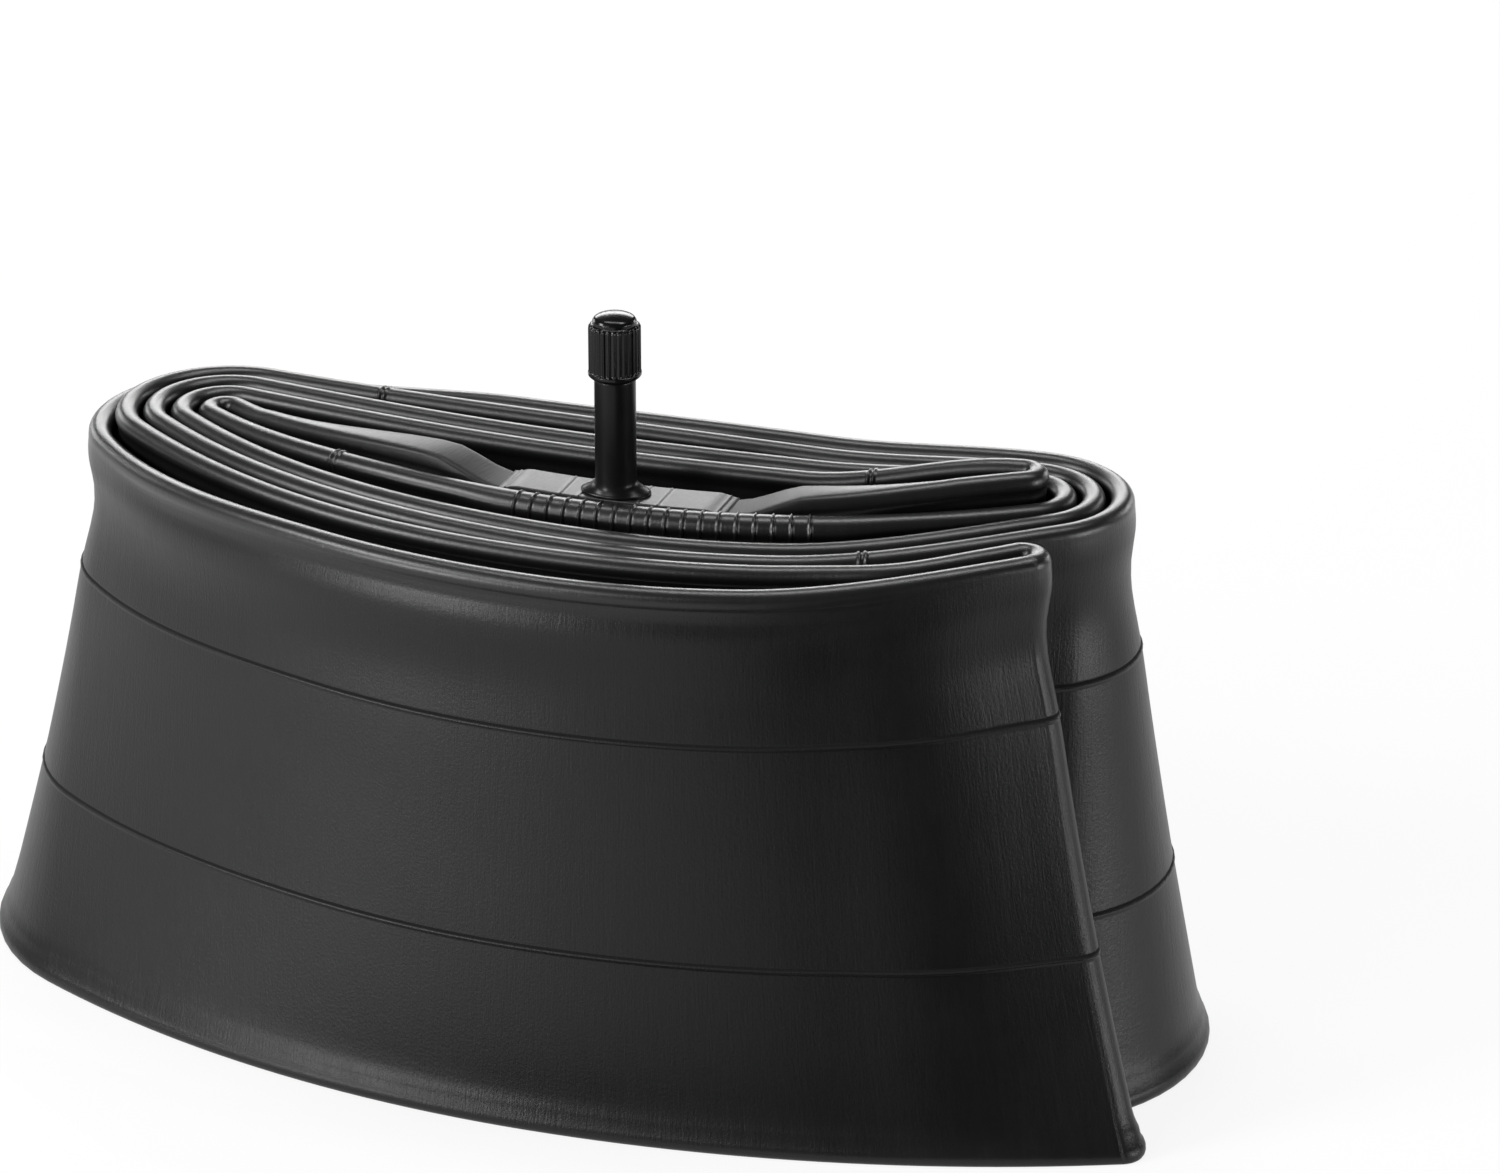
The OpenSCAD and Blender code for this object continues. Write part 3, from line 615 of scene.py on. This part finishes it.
gasket_plastic, shade = new_finish("gasket_plastic")
place = shade.node("TexCoord", {}, {}, "Object")
rubbed = shade.noise(place, 900.0, 3.0, 0.6)
end_finish(shade, {
    "Base Color": shade.mix(rubbed, (0.66, 0.64, 0.58), (0.84, 0.82, 0.77)),
    "Roughness": 0.42 + 0.2 * rubbed,
}, rubbed, 0.00003, 0.3)
gasket_narrow, gasket_wide, gasket_hole, gasket_low, gasket_high = 2.1, 2.4, 1.86, -9.4, -7.4
gasket_line = rounded([(gasket_narrow, gasket_low, 0.12), (gasket_wide, gasket_high, 0.14),
                       (gasket_hole, gasket_high, 0.05), (gasket_hole, gasket_low, 0.05)])
turned("core_gasket_ring", gasket_line, gasket_plastic, "core", ["core_gasket"], 48)

plug_bottom, plug_recess, plug_top, head_top = -5.4, -4.15, -2.4, -0.4
plug_radius, recess_radius, head_half_width = 2.6, 1.55, 1.2
plug_outside, head_outside, head_step = 2.4, 1.5, 0.02


def plug_shape(radius, z, angles):
    cut = core_thread_depth * (radius > plug_outside) * thread(z, angles, core_pitch, plug_bottom, plug_top)
    flat_side = head_half_width / np.maximum(np.abs(np.cos(angles)), 1e-3)
    over = ease((z - plug_top + head_step) / (2 * head_step))
    shaped = radius - cut
    headed = (1 - over) * shaped + over * np.minimum(shaped, flat_side)
    return np.where(radius > head_outside, headed, shaped)


plug_line = rounded([
    (plug_radius, plug_bottom, 0.3), (plug_radius, plug_top, 0), (plug_radius, head_top, 0.15),
    (pin_way, head_top, 0.15), (pin_way, plug_recess, 0), (recess_radius, plug_recess, 0),
    (recess_radius, plug_bottom, 0)])
turned("core_plug_head", fine(plug_line, 0.09), core_brass, "core_plug", ["core_plug"], 96,
       plug_shape)

# Pin, cup and cup seal: the steel pin runs through the core. The brass cup is crimped on its lower end and
# holds a rubber ring that closes the barrel, and the pin's collar takes the push of the spring.
pin_steel, shade = new_finish("pin_steel")
place = shade.node("TexCoord", {}, {}, "Object")
drawn = shade.noise(shade.scaled(place, 4000, 4000, 120), 1.0, 2.0, 0.6)
end_finish(shade, {
    "Base Color": shade.mix(drawn, (0.50, 0.49, 0.46), (0.72, 0.70, 0.66)),
    "Metallic": 1.0,
    "Roughness": 0.22 + 0.18 * drawn,
}, drawn, 0.00002, 0.4)
pin_radius, collar_radius, on_axis = 0.45, 1.3, 0.0001
pin_bottom, collar_bottom, collar_top, pin_top = -14.95, -7.65, -7.05, -0.2
pin_line = rounded([
    (pin_radius, pin_bottom, 0), (pin_radius, collar_bottom, 0), (collar_radius, collar_bottom, 0.1),
    (collar_radius, collar_top, 0.1), (pin_radius, collar_top, 0), (pin_radius, pin_top, 0.2),
    (on_axis, pin_top, 0), (on_axis, pin_bottom, 0)])
turned("core_pin_rod", pin_line, pin_steel, "core_pin", ["core_pin"], 40)
cup_radius, cup_hole, cup_bottom, cup_top, seal_top = 1.7, 0.46, -15.6, -14.3, -13.5
cup_line = rounded([(cup_radius, cup_bottom, 0.25), (cup_radius, cup_top, 0.1), (cup_hole, cup_top, 0),
                    (cup_hole, pin_bottom, 0), (on_axis, pin_bottom, 0), (on_axis, cup_bottom, 0)])
turned("core_cup_brass", cup_line, core_brass, "core_pin", ["core_cup"], 48)

seal_rubber, shade = new_finish("seal_rubber")
place = shade.node("TexCoord", {}, {}, "Object")
pores = shade.noise(place, 1200.0, 3.0, 0.6)
end_finish(shade, {
    "Base Color": shade.mix(pores, (0.26, 0.07, 0.05), (0.40, 0.12, 0.085)),
    "Roughness": 0.5 + 0.2 * pores,
}, pores, 0.00004, 0.4)
seal_line = rounded([(cup_radius, cup_top, 0.15), (cup_radius, seal_top, 0.15), (cup_hole, seal_top, 0.1),
                     (cup_hole, cup_top, 0.1)])
turned("cup_seal_ring", seal_line, seal_rubber, "core_pin", ["cup_seal"], 48)

# Spring: steel wire, wound cold in six turns. It stands between the barrel's floor and the pin's collar, and
# shortens as the pin is pressed.
wire, coil_radius, coil_turns, coil_low, coil_high = 0.15, 1.15, 6, -12.48, -7.82
coil_sides, coil_steps = 10, 144
coil = []
for i in range(coil_steps + 1):
    angle = 2 * math.pi * coil_turns * i / coil_steps
    for k in range(coil_sides):
        round_wire = 2 * math.pi * k / coil_sides
        r = coil_radius + wire * math.cos(round_wire)
        coil.append((valve[0] + r * math.cos(angle), valve[1] + r * math.sin(angle),
                     tip + coil_low + (coil_high - coil_low) * i / coil_steps + wire * math.sin(round_wire)))
coil_faces = grid_faces(coil_steps + 1, coil_sides, close_rows=False)
coil_faces += [list(range(coil_sides)), [len(coil) - 1 - k for k in range(coil_sides)]]
spring_steel, shade = new_finish("spring_steel")
place = shade.node("TexCoord", {}, {}, "Object")
die_marks = shade.noise(place, 1600.0, 2.0, 0.6)
end_finish(shade, {
    "Base Color": shade.mix(die_marks, (0.46, 0.47, 0.48), (0.70, 0.71, 0.72)),
    "Metallic": 1.0,
    "Roughness": 0.2 + 0.2 * die_marks,
}, die_marks, 0.00002, 0.3)
spring = add_piece("core_spring_coil", coil, coil_faces, spring_steel, "core",
                   ["core_spring"])
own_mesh(spring)

# Cap liner: a ring punched from soft black rubber and pushed into the cap. It closes on the rim of the
# valve's tip when the cap is screwed down.
liner_rubber, shade = new_finish("liner_rubber")
place = shade.node("TexCoord", {}, {}, "Object")
cut_marks = shade.noise(place, 800.0, 3.0, 0.6)
end_finish(shade, {
    "Base Color": shade.mix(cut_marks, (0.05, 0.05, 0.05), (0.09, 0.09, 0.09)),
    "Roughness": 0.55 + 0.2 * cut_marks,
}, cut_marks, 0.00004, 0.4)
liner_radius, liner_hole, liner_low, liner_high = 3.84, 2.8, 0.1, 0.85
liner_line = rounded([(liner_radius, liner_low, 0.15), (liner_radius, liner_high, 0.15),
                      (liner_hole, liner_high, 0.15), (liner_hole, liner_low, 0.15)])
turned("cap_liner_ring", liner_line, liner_rubber, "cap_liner", ["cap_liner"], 64)

# Dust cap: injection-moulded black plastic, glossy, with a shallow dome on a ring, thirty flutes for the
# fingers and a plain skirt. It screws over the valve's tip.
flute_count, flute_depth, flute_power, flute_least = 30, 0.27, 0.8, 4.45
flute_low, flute_start, flute_high, flute_fade = -8.15, 0.12, 1.1, 0.3
body_radius, skirt_radius, cap_bore_radius = 5.05, 5.15, 3.9
bore_low, bore_high, bore_thread_depth, bore_fade = -8.8, 0.3, 0.3, 0.5
bore_least, bore_most = 3.8, 3.95


def cap_shape(radius, z, angles):
    scallop = (0.5 - 0.5 * np.cos(flute_count * angles)) ** flute_power
    fluted = (radius > flute_least) * ease((z - flute_low) / flute_start)
    fluted = fluted * ease((flute_high + flute_fade - z) / flute_fade)
    bored = (radius < bore_most) & (radius > bore_least) & (bore_low < z < bore_high)
    crest = 1 - thread(z, angles, cap_pitch, bore_low, bore_high)
    return (radius - flute_depth * fluted * scallop
            + bore_thread_depth * bored * crest * ease((z - bore_low) / bore_fade))


cap_bottom, skirt_low, skirt_high, body_low, body_high = -9.2, -8.8, -8.2, -8.14, 1
chamfer_radius, edge_radius, ring_radius, edge_top, ring_low, ring_high = 4.75, 4.42, 4.25, 1.48, 1.52, 2.12
dome_radius, dome_low, dome_rise = 4.12, 2.2, 1.3
roof, seat, recess_half = 2.4, 0.9, 2.8
cap_corners = [(chamfer_radius, cap_bottom, 0.12), (skirt_radius, skirt_low, 0.15),
               (skirt_radius, skirt_high, 0.12), (body_radius, body_low, 0.03),
               (body_radius, body_high, 0.35), (edge_radius, edge_top, 0.12), (ring_radius, ring_low, 0.05),
               (ring_radius, ring_high, 0.14)]
cap_corners += [(dome_radius * math.sin(a), dome_low + dome_rise * math.cos(a), 0)
                for a in np.radians([84, 74, 62, 50, 38, 26, 14, 6])]
cap_corners += [(on_axis, dome_low + dome_rise, 0), (on_axis, roof, 0), (recess_half, roof, 0.2),
                (recess_half, seat, 0), (cap_bore_radius, seat, 0.1), (cap_bore_radius, cap_bottom, 0.15)]
cap_plastic, shade = new_finish("cap_plastic")
place = shade.node("TexCoord", {}, {}, "Object")
flow = shade.noise(place, 300.0, 3.0, 0.5)
handling = shade.noise(shade.scaled(place, 2500, 2500, 700), 1.0, 3.0, 0.6)
end_finish(shade, {
    "Base Color": shade.mix(flow, (0.003, 0.003, 0.0033), (0.006, 0.006, 0.0064)),
    "Roughness": 0.12 + 0.08 * flow + 0.06 * handling,
    "Specular IOR Level": 0.28,
}, handling, 0.00003, 0.2)
turned("dust_cap_fluted", fine(rounded(cap_corners), 0.2), cap_plastic, "dust_cap",
       ["dust_cap"], 300, cap_shape)

# Studio: a wide floor of white paper under soft lamps, seen through a long lens from the front right and
# above. To the lens and in mirror images the paper glows, which keeps it white and leaves it the shadow.
floor_radius, floor_sides, floor_glow = 7, 96, 0.85
floor_mesh = bpy.data.meshes.new("floor")
ring_angles = np.arange(floor_sides) * 2 * math.pi / floor_sides
floor_mesh.from_pydata([(floor_radius * math.cos(a), floor_radius * math.sin(a), 0) for a in ring_angles], [],
                       [list(range(floor_sides))])
floor = bpy.data.objects.new("floor", floor_mesh)
bpy.context.scene.collection.objects.link(floor)
floor_white, shade = new_finish("floor_white")
ray = shade.node("LightPath", {}, {}, "Is Camera Ray")
mirror = shade.node("LightPath", {}, {}, "Is Glossy Ray")
through = shade.node("LightPath", {}, {}, "Is Transmission Ray")
seen = shade.maths("MINIMUM", ray + mirror + through, 1.0)
paper = shade.node("BsdfDiffuse", {}, {"Color": (0.86, 0.86, 0.86, 1)})
glow = shade.node("Emission", {}, {"Color": (1, 1, 1, 1), "Strength": 1.0})
lit_paper = shade.node("MixShader", {}, {0: seen * floor_glow, 1: paper, 2: glow})
shade.node("OutputMaterial", {}, {"Surface": lit_paper})
floor_mesh.materials.append(floor_white)

# Dark card: black card cut to shape and laid on the floor at the front right, as photographers do to keep the
# white floor out of a shiny side. Only mirror images and soft light meet it: the lens doesn't see it, and it
# casts no shadow.
card_height = 1
card_corners = [(-125, -50), (-60, -64), (0, -66), (60, -64), (110, -50), (210, -95), (700, -330),
                (2600, -1150), (900, -2400), (180, -520), (85, -130), (10, -105), (-60, -92)]
card_mesh = bpy.data.meshes.new("dark_card")
card_mesh.from_pydata([(x / 1000, y / 1000, card_height / 1000) for x, y in card_corners], [],
                      [list(range(len(card_corners)))])
card = bpy.data.objects.new("dark_card", card_mesh)
bpy.context.scene.collection.objects.link(card)
card_black, shade = new_finish("card_black")
shade.node("OutputMaterial", {}, {"Surface": shade.node("BsdfDiffuse", {}, {"Color": (0.02, 0.02, 0.02, 1)})})
card_mesh.materials.append(card_black)
card.visible_camera = False
card.visible_shadow = False
card.visible_transmission = False

# Lamps: white cloth boxes on stands, aimed at the pack, in a dim room
world = bpy.data.worlds.new("studio")
bpy.context.scene.world = world
world.use_nodes = True
room = world.node_tree.nodes["Background"]
room.inputs["Color"].default_value = (1, 1, 1, 1)
room.inputs["Strength"].default_value = 0.04
middle = Vector((valve[0] / 1000, -0.03, 0.06))


def softbox(name, azimuth, elevation, distance, width, height, power):
    """A soft lamp aimed at the pack; azimuth is from the front, to the right."""
    a, e = math.radians(azimuth), math.radians(elevation)
    lamp = bpy.data.lights.new(name, "AREA")
    lamp.shape = "RECTANGLE"
    lamp.size, lamp.size_y, lamp.energy = width, height, power
    holder = bpy.data.objects.new(name, lamp)
    way = Vector((math.sin(a) * math.cos(e), -math.cos(a) * math.cos(e), math.sin(e)))
    holder.location = middle + way * distance
    holder.rotation_euler = (-way).to_track_quat("-Z", "Y").to_euler()
    holder.visible_camera = False
    bpy.context.scene.collection.objects.link(holder)


softbox("key_box", -58, 31, 1.5, 0.5, 0.3, 13)
softbox("front_box", -22, 30, 1.5, 0.4, 0.2, 4.5)
softbox("low_box", -38, 5, 1.5, 0.3, 0.16, 9)
softbox("right_strip", 82, 9, 1.5, 0.12, 0.3, 5.5)
softbox("right_box", 100, 7, 1.5, 0.3, 0.3, 2.5)
softbox("top_box", 180, 80, 1.3, 1.2, 0.22, 10)
softbox("back_box", 200, 20, 1.6, 1.2, 0.4, 11)
softbox("right_rim", 150, 10, 1.6, 0.6, 0.3, 3)
softbox("left_rim", 240, 10, 1.6, 0.6, 0.3, 3)
bpy.context.scene.view_settings.view_transform = "Standard"

# Camera: the lens stands 1.1 m off, and the valve's foot falls on its pixel of the picture
camera_azimuth, camera_elevation, camera_distance = math.radians(20), math.radians(22), 1.1
picture_width, picture_height = 1500, 1173
foot_pixel_x, foot_pixel_y, pixels_per_metre = 617, 490, 5200
sensor_width = 36
target = Vector((valve[0] / 1000, valve[1] / 1000, (tip + foot_bottom) / 1000))
way = Vector((math.sin(camera_azimuth) * math.cos(camera_elevation),
              -math.cos(camera_azimuth) * math.cos(camera_elevation), math.sin(camera_elevation)))
side = Vector((math.cos(camera_azimuth), math.sin(camera_azimuth), 0))
above = side.cross(-way)
aim = (target + side * (picture_width / 2 - foot_pixel_x) / pixels_per_metre
       - above * (picture_height / 2 - foot_pixel_y) / pixels_per_metre)
lens = bpy.data.cameras.new("camera")
lens.sensor_width = sensor_width
lens.lens = sensor_width * pixels_per_metre * camera_distance / picture_width
lens.clip_start = 0.05
camera = bpy.data.objects.new("camera", lens)
camera.location = target + way * camera_distance
camera.rotation_euler = (aim - camera.location).to_track_quat("-Z", "Y").to_euler()
bpy.context.scene.collection.objects.link(camera)
bpy.context.scene.camera = camera
